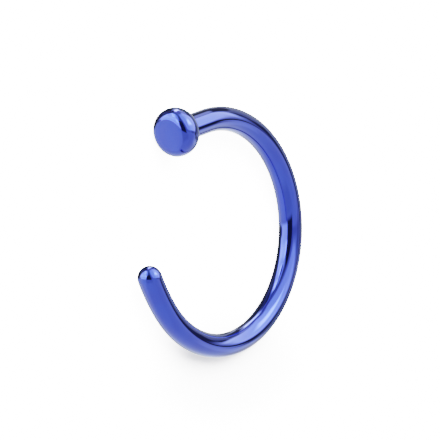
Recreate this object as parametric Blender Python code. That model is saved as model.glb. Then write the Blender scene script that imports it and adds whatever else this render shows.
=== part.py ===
"""An open nose hoop: one round steel wire bent into a C, with a rounded tip and a flat-faced head.

The hoop lies on its side, as it rests by itself on a table: on the rim of its head and on the wire
across from the head, so it leans a few degrees. Its mouth faces -Y, its head is at -X and its tip
at +X. The origin is the middle of the underside of its box. Lengths are in metres.
"""

import math

import bmesh
import bpy
from mathutils import Matrix, Vector

MM = 0.001
UP = Vector((0, 0, 1))

# The wire and its bend, to the middle of the wire
WIRE_DIAMETER = 1.0 * MM
BEND_RADIUS = 4.65 * MM
BEND_SWEEP = math.radians(242.6)

# The free end: a slightly flatter stretch, closed by a half ball
TIP_LENGTH = 1.66 * MM
TIP_BEND_RADIUS = 8.0 * MM

# The headed end: a straight stem, then a thick round button with a flat face
STEM_LENGTH = 1.36 * MM
NECK_FILLET = 0.08 * MM
HEAD_DIAMETER = 2.0 * MM
BACK_EDGE_WIDTH = 0.25 * MM
BACK_EDGE_DEPTH = 0.38 * MM
RIM_LAND = 0.12 * MM
FACE_EDGE_WIDTH = 0.31 * MM
FACE_EDGE_DEPTH = 0.45 * MM

# Where the head's face looks, as an angle from +X seen from above
FACE_HEADING = math.radians(-76.9)

# How finely the round forms are cut
SIDES = 32
SECTION_LENGTH = 0.32 * MM
DOME_RINGS = 7
EDGE_RINGS = 6
FILLET_RINGS = 3
SHARP_EDGE = math.radians(50)

PLATED_BLUE = (0.030, 0.055, 0.560, 1.0)

wire_radius = WIRE_DIAMETER / 2
head_radius = HEAD_DIAMETER / 2


def clear_scene():
    for old in list(bpy.data.objects):
        bpy.data.objects.remove(old, do_unlink=True)


def along(heading):
    """The unit vector of a heading in the plane of the hoop."""
    return Vector((math.cos(heading), math.sin(heading), 0))


def walk(point, heading, distance, bend_radius=None):
    """The point and heading after a distance along a straight run, or along an arc that turns left."""
    if bend_radius is None:
        return point + along(heading) * distance, heading
    turned = heading + distance / bend_radius
    centre = point + UP.cross(along(heading)) * bend_radius
    return centre - UP.cross(along(turned)) * bend_radius, turned


def stretch(start, length, bend_radius=None):
    """Sections of plain wire from one end of a run up to just before its other end."""
    steps = max(1, round(length / SECTION_LENGTH))
    for step in range(steps):
        yield *walk(*start, length * step / steps, bend_radius), wire_radius


def quarter_turn(count):
    """The sine and cosine at even steps of a quarter turn, both ends included."""
    for step in range(count + 1):
        angle = math.radians(90) * step / count
        yield math.sin(angle), math.cos(angle)


def head_profile():
    """The turned outline of neck and head, as (distance beyond the neck, radius)."""
    for sine, cosine in quarter_turn(FILLET_RINGS):
        yield NECK_FILLET * sine, wire_radius + NECK_FILLET * (1 - cosine)
    for sine, cosine in quarter_turn(EDGE_RINGS):
        yield NECK_FILLET + BACK_EDGE_DEPTH * (1 - cosine), head_radius - BACK_EDGE_WIDTH * (1 - sine)
    rim = NECK_FILLET + BACK_EDGE_DEPTH + RIM_LAND
    for sine, cosine in quarter_turn(EDGE_RINGS):
        yield rim + FACE_EDGE_DEPTH * sine, head_radius - FACE_EDGE_WIDTH * (1 - cosine)


def hoop_sections():
    """Every section from the tip's pole to the face, as (centre, heading, radius)."""
    first_heading = FACE_HEADING - BEND_SWEEP
    bend_start = (-UP.cross(along(first_heading)) * BEND_RADIUS, first_heading)
    bend_end = walk(*bend_start, BEND_RADIUS * BEND_SWEEP, BEND_RADIUS)
    tip_start = walk(*bend_start, -TIP_LENGTH, TIP_BEND_RADIUS)
    neck = walk(*bend_end, STEM_LENGTH - NECK_FILLET)

    sections = []
    for sine, cosine in list(quarter_turn(DOME_RINGS))[:-1]:
        sections.append((*walk(*tip_start, -wire_radius * cosine), wire_radius * sine))
    sections.extend(stretch(tip_start, TIP_LENGTH, TIP_BEND_RADIUS))
    sections.extend(stretch(bend_start, BEND_RADIUS * BEND_SWEEP, BEND_RADIUS))
    sections.extend(stretch(bend_end, STEM_LENGTH - NECK_FILLET))
    for distance, radius in head_profile():
        sections.append((*walk(*neck, distance), radius))
    return sections


def skin(bm, sections):
    """Joins the sections into one closed body, from the pole on the tip to the flat face."""
    pole = bm.verts.new(sections[0][0])
    rings = []
    for centre, heading, radius in sections[1:]:
        side = UP.cross(along(heading))
        ring = []
        for step in range(SIDES):
            angle = math.tau * step / SIDES
            ring.append(bm.verts.new(centre + (side * math.cos(angle) + UP * math.sin(angle)) * radius))
        rings.append(ring)

    for step in range(SIDES):
        bm.faces.new((pole, rings[0][step], rings[0][step - 1]))
        for ring, following in zip(rings, rings[1:]):
            bm.faces.new((ring[step - 1], ring[step], following[step], following[step - 1]))
    bm.faces.new(rings[-1])
    bmesh.ops.recalc_face_normals(bm, faces=bm.faces)


def centre_of_mass(bm):
    """The centre of the solid that the closed surface holds."""
    moment = Vector()
    volume = 0.0
    for loops in bm.calc_loop_triangles():
        a, b, c = (loop.vert.co for loop in loops)
        part = a.dot(b.cross(c)) / 6
        moment += (a + b + c) * part / 4
        volume += part
    return moment / volume


def resting_lean(balance):
    """The turn that sets the hoop down on its head's rim and on the wire.

    The two touching points lie on one line with the balance point between them, so the wire touches
    where the line from the rim through the balance point meets the bend again.
    """
    head_angle = FACE_HEADING - math.radians(90)
    to_rim = STEM_LENGTH + BACK_EDGE_DEPTH + RIM_LAND / 2
    rim = along(head_angle) * BEND_RADIUS + along(FACE_HEADING) * to_rim
    line = Vector((balance.x - rim.x, balance.y - rim.y, 0)).normalized()
    inward = -rim.dot(line)
    touch = rim + line * (inward + math.sqrt(inward**2 - rim.length_squared + BEND_RADIUS**2))
    rise = -touch.normalized()
    lean = math.asin((head_radius - wire_radius) / (rim - touch).dot(rise))
    return Matrix.Rotation(lean, 4, rise.cross(UP))


def set_down(bm):
    """Leans the hoop and puts the middle of its underside on the origin."""
    bm.transform(resting_lean(centre_of_mass(bm)))
    low = Vector([min(vert.co[axis] for vert in bm.verts) for axis in range(3)])
    high = Vector([max(vert.co[axis] for vert in bm.verts) for axis in range(3)])
    middle = (low + high) / 2
    bmesh.ops.translate(bm, verts=bm.verts, vec=(-middle.x, -middle.y, -low.z))


def plated_steel():
    material = bpy.data.materials.new("blue_plated_steel")
    material.use_nodes = True
    shader = material.node_tree.nodes["Principled BSDF"]
    shader.inputs["Base Color"].default_value = PLATED_BLUE
    shader.inputs["Metallic"].default_value = 1.0
    shader.inputs["Roughness"].default_value = 0.12
    material.diffuse_color = PLATED_BLUE
    return material


def make_hoop():
    bm = bmesh.new()
    skin(bm, hoop_sections())
    set_down(bm)
    mesh = bpy.data.meshes.new("nose_hoop")
    bm.to_mesh(mesh)
    bm.free()
    mesh.shade_smooth()
    mesh.set_sharp_from_angle(angle=SHARP_EDGE)
    mesh.materials.append(plated_steel())
    hoop = bpy.data.objects.new("nose_hoop", mesh)
    bpy.context.scene.collection.objects.link(hoop)


clear_scene()
make_hoop()
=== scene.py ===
import math

import bmesh
import bpy
from mathutils import Matrix, Vector


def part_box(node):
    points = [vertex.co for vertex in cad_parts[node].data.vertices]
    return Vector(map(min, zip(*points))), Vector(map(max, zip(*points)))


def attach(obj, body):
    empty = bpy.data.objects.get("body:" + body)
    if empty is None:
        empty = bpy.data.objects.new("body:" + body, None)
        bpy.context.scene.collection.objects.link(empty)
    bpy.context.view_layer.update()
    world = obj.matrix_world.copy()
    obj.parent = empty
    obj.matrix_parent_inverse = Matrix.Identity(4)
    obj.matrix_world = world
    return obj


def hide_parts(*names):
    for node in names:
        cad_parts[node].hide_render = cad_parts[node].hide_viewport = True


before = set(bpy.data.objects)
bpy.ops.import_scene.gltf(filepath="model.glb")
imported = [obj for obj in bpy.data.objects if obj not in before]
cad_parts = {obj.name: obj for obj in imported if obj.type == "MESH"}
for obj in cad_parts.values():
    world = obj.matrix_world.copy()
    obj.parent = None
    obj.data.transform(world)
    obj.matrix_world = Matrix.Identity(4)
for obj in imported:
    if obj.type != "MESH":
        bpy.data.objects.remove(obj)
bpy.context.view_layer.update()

mm = 0.001
up = Vector((0, 0, 1))
quarter = math.radians(90)


def grey(level):
    return level, level, level, 1


print("frame loaded:", ", ".join(sorted(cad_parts)))


# Node maths as plain expressions: a Signal is one socket, a Graph adds the nodes

class Signal:
    def __init__(self, graph, socket):
        self.graph = graph
        self.socket = socket

    def maths(self, operation, first, second=0.0):
        return self.graph.add("ShaderNodeMath", {"operation": operation}, {0: first, 1: second})

    def vectorMaths(self, operation, vector, output="Vector"):
        settings = {"operation": operation}
        return self.graph.add("ShaderNodeVectorMath", settings, {0: self, 1: vector}, output)

    def __add__(self, other):
        return self.maths("ADD", self, other)

    def __radd__(self, other):
        return self.maths("ADD", other, self)

    def __sub__(self, other):
        return self.maths("SUBTRACT", self, other)

    def __rsub__(self, other):
        return self.maths("SUBTRACT", other, self)

    def __mul__(self, other):
        return self.maths("MULTIPLY", self, other)

    def __rmul__(self, other):
        return self.maths("MULTIPLY", other, self)

    def least(self, other):
        return self.maths("MINIMUM", self, other)

    def dot(self, vector):
        return self.vectorMaths("DOT_PRODUCT", vector, "Value")

    def distance(self, vector):
        return self.vectorMaths("DISTANCE", vector, "Value")

    def stretched(self, vector):
        return self.vectorMaths("MULTIPLY", vector)


class Graph:
    def __init__(self, tree):
        self.tree = tree
        tree.nodes.clear()

    def add(self, kind, settings=None, inputs=None, output=0):
        node = self.tree.nodes.new(kind)
        for name, value in (settings or {}).items():
            setattr(node, name, value)
        for key, value in (inputs or {}).items():
            if isinstance(value, Signal):
                self.tree.links.new(value.socket, node.inputs[key])
            else:
                node.inputs[key].default_value = value
        return Signal(self, node.outputs[output]) if node.outputs else node

    def soften(self, value, low, high):      # 0 below low, 1 above high, eased between
        settings = {"interpolation_type": "SMOOTHSTEP"}
        return self.add("ShaderNodeMapRange", settings, {0: value, 1: low, 2: high})

    def blend(self, factor, first, second):  # colours: 0 gives the first, 1 the second
        return self.add("ShaderNodeMix", {"data_type": "RGBA"}, {0: factor, 6: first, 7: second}, 2)

    def noise(self, where, grain):           # an "along" under 1 draws the grain out along the wire
        where = where.stretched((1, 1, grain["along"]))
        return self.add("ShaderNodeTexNoise", None, {
            "Vector": where, "Scale": grain["scale"], "Detail": grain["detail"]})


# The hoop: one wire, bent into a C, with a rounded tip and a flat-faced head. mm and degrees

hoop = {
    "wire": 1.0,            # diameter
    "bend": 4.65,           # radius, to the middle of the wire
    "sweep": 242.6,
    "tipLength": 1.66,      # the free end is a little straighter than the bend
    "tipBend": 8.0,
    "stem": 1.36,           # straight, from the bend to the head
    "neckFillet": 0.08,
    "head": 2.0,            # diameter
    "backWidth": 0.28,      # the rounding at the back of the head
    "backDepth": 0.48,
    "faceWidth": 0.42,      # the rounding at the front of the head
    "faceDepth": 0.47,
    "faceEase": 2.2,        # 2 is a plain ellipse, more runs softly into the face
    "crown": 0.06,          # how much fuller the face is at its middle
    "faceHeading": -76.9,   # where the face looks, from +X
    "sides": 96,            # around the wire
    "step": 0.1,            # between sections of wire
    "roundingRings": 24,    # in each rounding
    "faceRings": 6,
}
wireRadius = hoop["wire"] / 2
headRadius = hoop["head"] / 2
faceHeading = math.radians(hoop["faceHeading"])


def along(heading):
    return Vector((math.cos(heading), math.sin(heading), 0))


def walk(point, heading, distance, bendRadius=None):   # an arc turns left
    if bendRadius is None:
        return point + along(heading) * distance, heading
    turned = heading + distance / bendRadius
    centre = point + up.cross(along(heading)) * bendRadius
    return centre - up.cross(along(turned)) * bendRadius, turned


def stretch(start, length, bendRadius=None):
    steps = round(length / hoop["step"])
    for step in range(steps):
        yield *walk(*start, length * step / steps, bendRadius), wireRadius


def quarterTurn():
    for step in range(hoop["roundingRings"] + 1):
        angle = quarter * step / hoop["roundingRings"]
        yield math.sin(angle), math.cos(angle)


def crown(radius):
    return hoop["crown"] * (1 - (radius / headRadius)**2)


def headProfile():          # distance beyond the neck, and radius
    for sine, cosine in quarterTurn():
        yield hoop["neckFillet"] * sine, wireRadius + hoop["neckFillet"] * (1 - cosine)
    for sine, cosine in quarterTurn():
        radius = headRadius - hoop["backWidth"] * (1 - sine)
        yield hoop["neckFillet"] + hoop["backDepth"] * (1 - cosine), radius
    rim = hoop["neckFillet"] + hoop["backDepth"]
    ease = 2 / hoop["faceEase"]
    for sine, cosine in list(quarterTurn())[1:]:    # the rim is there already
        radius = headRadius - hoop["faceWidth"] * (1 - max(cosine, 0)**ease)
        yield rim + hoop["faceDepth"] * sine**ease + crown(radius), radius
    for ring in range(1, hoop["faceRings"] + 1):
        radius = (headRadius - hoop["faceWidth"]) * (1 - ring / hoop["faceRings"])
        yield rim + hoop["faceDepth"] + crown(radius), radius


def hoopSections():         # centre, heading and radius, from the tip's pole to the middle of the face
    sweep = math.radians(hoop["sweep"])
    firstHeading = faceHeading - sweep
    bendStart = (-up.cross(along(firstHeading)) * hoop["bend"], firstHeading)
    bendEnd = walk(*bendStart, hoop["bend"] * sweep, hoop["bend"])
    tipStart = walk(*bendStart, -hoop["tipLength"], hoop["tipBend"])
    neck = walk(*bendEnd, hoop["stem"] - hoop["neckFillet"])
    for sine, cosine in list(quarterTurn())[:-1]:
        yield *walk(*tipStart, -wireRadius * cosine), wireRadius * sine
    yield from stretch(tipStart, hoop["tipLength"], hoop["tipBend"])
    yield from stretch(bendStart, hoop["bend"] * sweep, hoop["bend"])
    yield from stretch(bendEnd, hoop["stem"] - hoop["neckFillet"])
    for distance, radius in headProfile():
        yield *walk(*neck, distance), radius


def hoopSkin(bm):
    unrolled = bm.verts.layers.float_vector.new("unrolled")   # in mm on a straight wire, for the finish
    sections = list(hoopSections())
    sides = hoop["sides"]
    rings = []
    run = 0.0
    for number, (centre, heading, radius) in enumerate(sections):
        if number:
            run += (centre - sections[number - 1][0]).length
        side = up.cross(along(heading))
        ring = []
        for step in range(sides if radius else 1):
            angle = math.tau * step / sides
            vert = bm.verts.new(centre + (side * math.cos(angle) + up * math.sin(angle)) * radius)
            vert[unrolled] = (radius * math.cos(angle), radius * math.sin(angle), run)
            ring.append(vert)
        rings.append(ring)
    tipPole = rings.pop(0)[0]
    facePole = rings.pop()[0]
    for step in range(sides):
        bm.faces.new((tipPole, rings[0][step], rings[0][step - 1]))
        bm.faces.new((facePole, rings[-1][step - 1], rings[-1][step]))
        for ring, following in zip(rings, rings[1:]):
            bm.faces.new((ring[step - 1], ring[step], following[step], following[step - 1]))
    bmesh.ops.recalc_face_normals(bm, faces=bm.faces)


def centreOfMass(bm):
    moment = Vector()
    volume = 0.0
    for loops in bm.calc_loop_triangles():
        a, b, c = (loop.vert.co for loop in loops)
        share = a.dot(b.cross(c)) / 6
        moment += (a + b + c) * share / 4
        volume += share
    return moment / volume


def restingLean(balance):   # it lies on the rim of its head and on the wire across from it
    headAngle = faceHeading - quarter
    toRim = hoop["stem"] + hoop["backDepth"]
    rim = along(headAngle) * hoop["bend"] + along(faceHeading) * toRim
    line = Vector((balance.x - rim.x, balance.y - rim.y, 0)).normalized()
    inward = -rim.dot(line)
    touch = rim + line * (inward + math.sqrt(inward**2 - rim.length_squared + hoop["bend"]**2))
    rise = -touch.normalized()
    lean = math.asin((headRadius - wireRadius) / (rim - touch).dot(rise))
    return Matrix.Rotation(lean, 4, rise.cross(up))


def makeHoop():             # the second result turns and places what is laid out about the bend's middle
    bm = bmesh.new()
    hoopSkin(bm)
    turned = restingLean(centreOfMass(bm))
    bm.transform(Matrix.Scale(mm, 4) @ turned)
    low = Vector([min(vert.co[axis] for vert in bm.verts) for axis in range(3)])
    high = Vector([max(vert.co[axis] for vert in bm.verts) for axis in range(3)])
    cadLow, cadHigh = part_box("nose_hoop")
    shift = (cadLow + cadHigh - low - high) / 2
    shift.z = cadLow.z - low.z
    bmesh.ops.translate(bm, verts=bm.verts, vec=shift)
    mesh = bpy.data.meshes.new("steelHoop")
    bm.to_mesh(mesh)
    bm.free()
    mesh.shade_smooth()
    piece = bpy.data.objects.new("steelHoop", mesh)
    bpy.context.scene.collection.objects.link(piece)
    return piece, Matrix.Translation(shift) @ turned


steelHoop, placed = makeHoop()
print("hoop made:", len(steelHoop.data.vertices), "points")


# The finish: polished steel under a thin clear blue, with the faint unevenness that polishing leaves

finish = {
    "blue": (0.001, 0.017, 0.31, 1),
    "deepBlue": (0.001, 0.014, 0.28, 1),
    "edgeTint": (0.82, 0.94, 1, 1),   # paler and a little cooler where it is seen aslant
    "coat": 1.33,                     # refraction of the clear layer
    "roughness": 0.03,
    "haze": 0.03,                     # the most that rubbing adds to the roughness
    "rippleHeight": 0.0006,           # mm
    "patches": {"scale": 0.8, "detail": 2.0, "along": 1.0, "edge": (0.35, 0.65)},
    "rubbed": {"scale": 3.0, "detail": 4.0, "along": 0.25, "edge": (0.45, 0.75)},
    "hairlines": {"scale": 38.0, "detail": 3.0, "along": 0.06},
    "ripple": {"scale": 1.6, "detail": 1.0, "along": 0.5},
}


def blueSteel():
    material = bpy.data.materials.new("blueSteel")
    material.use_nodes = True
    graph = Graph(material.node_tree)
    unrolled = graph.add("ShaderNodeAttribute", {"attribute_name": "unrolled"}, output="Vector")
    patches = graph.soften(graph.noise(unrolled, finish["patches"]), *finish["patches"]["edge"])
    colour = graph.blend(patches, finish["blue"], finish["deepBlue"])
    rubbed = graph.soften(graph.noise(unrolled, finish["rubbed"]), *finish["rubbed"]["edge"])
    hairlines = graph.noise(unrolled, finish["hairlines"])
    roughness = finish["roughness"] + finish["haze"] * rubbed * hairlines
    bump = graph.add("ShaderNodeBump", None, {
        "Strength": 1.0, "Distance": finish["rippleHeight"] * mm,
        "Height": graph.noise(unrolled, finish["ripple"])})
    shader = graph.add("ShaderNodeBsdfPrincipled", None, {
        "Base Color": colour, "Metallic": 1.0, "Roughness": roughness, "Normal": bump,
        "Specular Tint": finish["edgeTint"], "Coat Weight": 1.0, "Coat IOR": finish["coat"],
        "Coat Roughness": finish["roughness"]})
    graph.add("ShaderNodeOutputMaterial", None, {"Surface": shader})
    return material


steelHoop.data.materials.append(blueSteel())
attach(steelHoop, "root")
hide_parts("nose_hoop")
print("finish made: polished blue steel")


# The floor: a pale sheet with painted light: it glows though it is no lamp, which washes out the hoop's
# shadow, except beside the part of the hoop that is lowest in the picture, where the glow is taken out, the
# lamp lights it and the hoop's real shadow shows over a faint painted shade. A pale dome stands around it
# for low views

floor = {
    "radius": 400,              # mm
    "sides": 96,
    "paper": 0.8,
    "roughness": 0.9,
    "glow": 8.0,                # painted light: the sheet's own glow, which washes out the hoop's shadow
    "shade": (5.7, 1.0),        # mm, the middle of the part that doesn't glow, where the hoop's real shadow shows over a faint painted shade
    "shadeShape": (1.0, 0.5),   # the longer it is along a direction, the smaller this is
    "shadeEdge": (1.2, 3.4),    # mm, where the glow starts and is full
    "shadeGlow": 0.04,          # how much glow is left in it
    "dome": 1500,               # mm, radius
    "domeSides": (64, 32),
    "domeGlow": 17.0,
}


def staged(name, bm, material):
    mesh = bpy.data.meshes.new(name)
    bm.to_mesh(mesh)
    bm.free()
    mesh.materials.append(material)
    piece = bpy.data.objects.new(name, mesh)
    bpy.context.scene.collection.objects.link(piece)
    piece.visible_glossy = False        # the hoop mirrors the studio, not the sheet that it lies on
    return piece


def glowingPaper(name, glow, shaded):
    material = bpy.data.materials.new(name)
    material.use_nodes = True
    graph = Graph(material.node_tree)
    light = grey(1)
    # Painted shade: the glow is taken out in a patch beside the hoop, so that the lamp's real shadow shows
    # there and the patch itself is faintly darker
    if shaded:
        where = graph.add("ShaderNodeTexCoord", output="Object")
        shape = Vector((*floor["shadeShape"], 0))
        middle = Vector((*floor["shade"], 0))
        away = where.stretched(shape / mm).distance(shape * middle)
        light = graph.blend(graph.soften(away, *floor["shadeEdge"]), grey(floor["shadeGlow"]), light)
    shader = graph.add("ShaderNodeBsdfPrincipled", None, {
        "Base Color": grey(floor["paper"]), "Roughness": floor["roughness"], "Specular IOR Level": 0.0,
        "Emission Color": light, "Emission Strength": glow})
    graph.add("ShaderNodeOutputMaterial", None, {"Surface": shader})
    return material


def makeFloor():
    bm = bmesh.new()
    bmesh.ops.create_circle(bm, cap_ends=True, segments=floor["sides"], radius=floor["radius"] * mm)
    staged("floorSheet", bm, glowingPaper("floorSheet", floor["glow"], True))
    bm = bmesh.new()
    around, upwards = floor["domeSides"]
    bmesh.ops.create_uvsphere(bm, u_segments=around, v_segments=upwards, radius=floor["dome"] * mm)
    dome = staged("surround", bm, glowingPaper("surround", floor["domeGlow"], False))
    dome.visible_diffuse = False
    dome.visible_shadow = False


makeFloor()
print("floor made")


# The studio that the metal mirrors, laid out as the camera sees the hoop: turn 0 is straight behind it,
# 90 to its right and -90 to its left, and height is up along the picture. Degrees

studio = {
    "table": 2.5,               # brightness below the horizon
    "room": 1.6,                # and above it
    "horizon": (-5.5, -2.5),
}
cards = {       # corners (turn, height), soft edge, brightness; a later card covers an earlier one
    "near table": {"corners": ((-165, -14), (-92, -14), (-92, -46), (-165, -36)), "soft": 16, "light": 1.9},
    "left table": {"corners": ((-92, -8), (-30, -8), (-40, -62), (-92, -46)), "soft": 12, "light": 3.3},
    "back table": {"corners": ((-30, -10), (30, -30), (60, -80), (-44, -70)), "soft": 14, "light": 2.5},
    "right table": {"corners": ((100, -14), (185, -10), (180, -70), (95, -60)), "soft": 20, "light": 2.3},
    "middle table": {"corners": ((0, -4), (100, -4), (96, -42), (12, -42)), "soft": 16, "light": 1.2},
    "table glow": {"corners": ((44, -12), (74, -26), (74, -56), (54, -50)), "soft": 14, "light": 2.7},
    "table sheen": {"corners": ((104, -20), (134, -14), (140, -34), (106, -34)), "soft": 8, "light": 3.1},
    "front box": {"corners": ((131, 3), (190, 6), (226, 78), (106, 78)), "soft": 7, "light": 8.6},
    "front box corner": {"corners": ((126, 8), (113, 34), (106, 76), (126, 76)), "soft": 6, "light": 8.6},
    "front box side": {"corners": ((172, 4), (200, 6), (240, 78), (180, 78)), "soft": 14, "light": 6.3},
    "front lamp": {"corners": ((144, 28), (176, 28), (172, 47), (148, 50)), "soft": 14, "light": 30.0},
    "left box": {"corners": ((-97, -8), (-26, -5), (-48, 63), (-92, 61)), "soft": 5, "light": 9.5},
    "left box head": {"corners": ((-84, 50), (-52, 50), (-54, 60), (-80, 60)), "soft": 6, "light": 22.0},
    "left lamp": {"corners": ((-82, 35), (-68, 35), (-68, 46), (-82, 46)), "soft": 6, "light": 26.0},
    "left lamp low": {"corners": ((-98, 10), (-86, 10), (-84, 28), (-98, 28)), "soft": 6, "light": 22.0},
    "left lamp wide": {"corners": ((-80, 14), (-38, 12), (-40, 26), (-78, 26)), "soft": 8, "light": 14.0},
    "left box side": {"corners": ((-106, 24), (-92, 26), (-90, 58), (-108, 55)), "soft": 8, "light": 6.0},
    "left box edge": {"corners": ((-46, 16), (-34, 12), (-40, 40), (-50, 36)), "soft": 8, "light": 14.0},
    "left box foot": {"corners": ((-40, -5), (-24, -4), (-26, 4), (-38, 4)), "soft": 4, "light": 0.4},
    "back wall": {"corners": ((-21, -4), (60, -4), (26, 72), (-41, 72)), "soft": 6, "light": 0.13},
    "back patch": {"corners": ((-22, 32), (-4, 32), (-4, 50), (-22, 50)), "soft": 16, "light": 0.55},
    "back head": {"corners": ((-20, 52), (0, 52), (-4, 62), (-24, 62)), "soft": 10, "light": 0.4},
    "back room": {"corners": ((20, -3), (60, -3), (60, 22), (30, 22)), "soft": 8, "light": 0.6},
    "back flag low": {"corners": ((-18, -3), (8, -3), (4, 14), (-12, 14)), "soft": 6, "light": 0.08},
    "back flag": {"corners": ((6, 24), (20, 25), (34, 48), (14, 50)), "soft": 4, "light": 0.06},
    "back flag arm": {"corners": ((16, 27), (50, 31), (52, 42), (14, 44)), "soft": 4, "light": 0.08},
    "right wall": {"corners": ((50, -8), (132, -6), (112, 36), (64, 50)), "soft": 7, "light": 0.8},
    "right top flag": {"corners": ((50, 36), (105, 38), (103, 52), (60, 53)), "soft": 3, "light": 0.14},
    "right flag": {"corners": ((50, 18), (66, 22), (62, 30), (52, 32)), "soft": 5, "light": 0.14},
    "right shelf": {"corners": ((70, -22), (126, -18), (122, -8), (70, -9)), "soft": 6, "light": 0.55},
    "slanted post": {"corners": ((109, 31), (114, 32), (121, 17), (115, 15)), "soft": 2, "light": 0.22},
    "slanted post foot": {"corners": ((107, 15), (118, 17), (129, -3), (122, -4)), "soft": 2, "light": 0.15},
    "post foot": {"corners": ((120, -6), (130, -1), (132, -6), (122, -14)), "soft": 2, "light": 0.08},
    "right ledge": {"corners": ((138, -5), (164, -4), (160, 1), (140, 1)), "soft": 4, "light": 1.0},
    "top haze": {"corners": ((-10, 62), (60, 56), (112, 50), (112, 72)), "soft": 6, "light": 3.0},
    "strip skirt": {"corners": ((0, 76), (52, 54), (66, 58), (12, 84)), "soft": 6, "light": 8.0},
    "top strip": {"corners": ((16, 72), (54, 53), (62, 60), (30, 80)), "soft": 6, "light": 22.0},
    "camera side": {"corners": ((-150, -13), (-98, -12), (-102, 26), (-130, 38)), "soft": 6, "light": 0.12},
    "camera post": {"corners": ((-130, 32), (-112, 34), (-104, 56), (-124, 70)), "soft": 9, "light": 0.6},
}
toRight = placed.to_3x3() @ Vector((0, 1, 0))
toBack = placed.to_3x3() @ Vector((0, 0, -1))
toTop = placed.to_3x3() @ Vector((-1, 0, 0))


def cardMask(graph, turn, height, card):
    corners = [Vector(corner) for corner in card["corners"]]
    middle = sum(corners, Vector((0, 0))) / len(corners)
    settings = {"operation": "WRAP"}
    turned = graph.add("ShaderNodeMath", settings, {0: turn - middle.x, 1: 180.0, 2: -180.0})
    inside = None
    for number, corner in enumerate(corners):
        edge = (corners[(number + 1) % len(corners)] - corner).normalized()
        inward = Vector((-edge.y, edge.x))
        inward = inward if inward.dot(middle - corner) > 0 else -inward
        depth = turned * inward.x + (height * inward.y - (inward.dot(corner) - inward.x * middle.x))
        inside = depth if inside is None else inside.least(depth)
    return graph.soften(inside, -card["soft"] / 2, card["soft"] / 2)


def makeStudio():
    world = bpy.data.worlds.new("studio")
    bpy.context.scene.world = world
    world.use_nodes = True
    graph = Graph(world.node_tree)
    direction = graph.add("ShaderNodeTexCoord", output="Generated")
    radian = math.degrees(1)
    across = direction.dot(toRight)
    turn = across.maths("ARCTAN2", across, direction.dot(toBack)) * radian
    rise = direction.dot(toTop)
    height = rise.maths("ARCSINE", rise) * radian
    above = graph.soften(height, *studio["horizon"])
    light = graph.blend(above, grey(studio["table"]), grey(studio["room"]))
    for card in cards.values():
        light = graph.blend(cardMask(graph, turn, height, card), light, grey(card["light"]))
    background = graph.add("ShaderNodeBackground", None, {"Color": light, "Strength": 1.0})
    graph.add("ShaderNodeOutputWorld", None, {"Surface": background})


makeStudio()
print("studio made:", len(cards), "cards")


# A broad soft light for the sheet alone, so that the hoop's shadow is faint

lamp = {
    "strength": 48.0,
    "spread": 66,                   # degrees
    "towards": (1.0, 0.5, -0.9),    # so that the shadow falls low in the picture
}


def makeLamp():
    data = bpy.data.lights.new("sheetLamp", "SUN")
    data.energy = lamp["strength"]
    data.angle = math.radians(lamp["spread"])
    light = bpy.data.objects.new("sheetLamp", data)
    light.rotation_euler = Vector(lamp["towards"]).to_track_quat("-Z", "Y").to_euler()
    light.visible_glossy = False
    bpy.context.scene.collection.objects.link(light)


makeLamp()
print("lamp made")


# The camera, placed from the hoop's own plane and bend. mm and degrees

view = {
    "aim": (-0.50, -0.01, -0.05),    # from the middle of the bend
    "distance": 104.25,
    "turn": -93.05,
    "height": 39.12,
    "roll": 91.8,
    "lens": 208.5,                   # on a 36 mm sensor
    "nearest": 1,                    # what it can see
    "farthest": 5000,
}


def makeCamera():
    data = bpy.data.cameras.new("camera")
    data.lens = view["lens"]
    data.clip_start = view["nearest"] * mm
    data.clip_end = view["farthest"] * mm
    camera = bpy.data.objects.new("camera", data)
    bpy.context.scene.collection.objects.link(camera)
    turn = math.radians(view["turn"])
    height = math.radians(view["height"])
    toCamera = along(turn) * math.cos(height) + up * math.sin(height)
    facing = toCamera.to_track_quat("Z", "Y").to_matrix().to_4x4()
    facing = Matrix.Translation((Vector(view["aim"]) + toCamera * view["distance"]) * mm) @ facing
    camera.matrix_world = placed @ facing @ Matrix.Rotation(math.radians(view["roll"]), 4, "Z")
    bpy.context.scene.camera = camera


makeCamera()
bpy.context.scene.view_settings.view_transform = "Filmic"
print("camera in place")
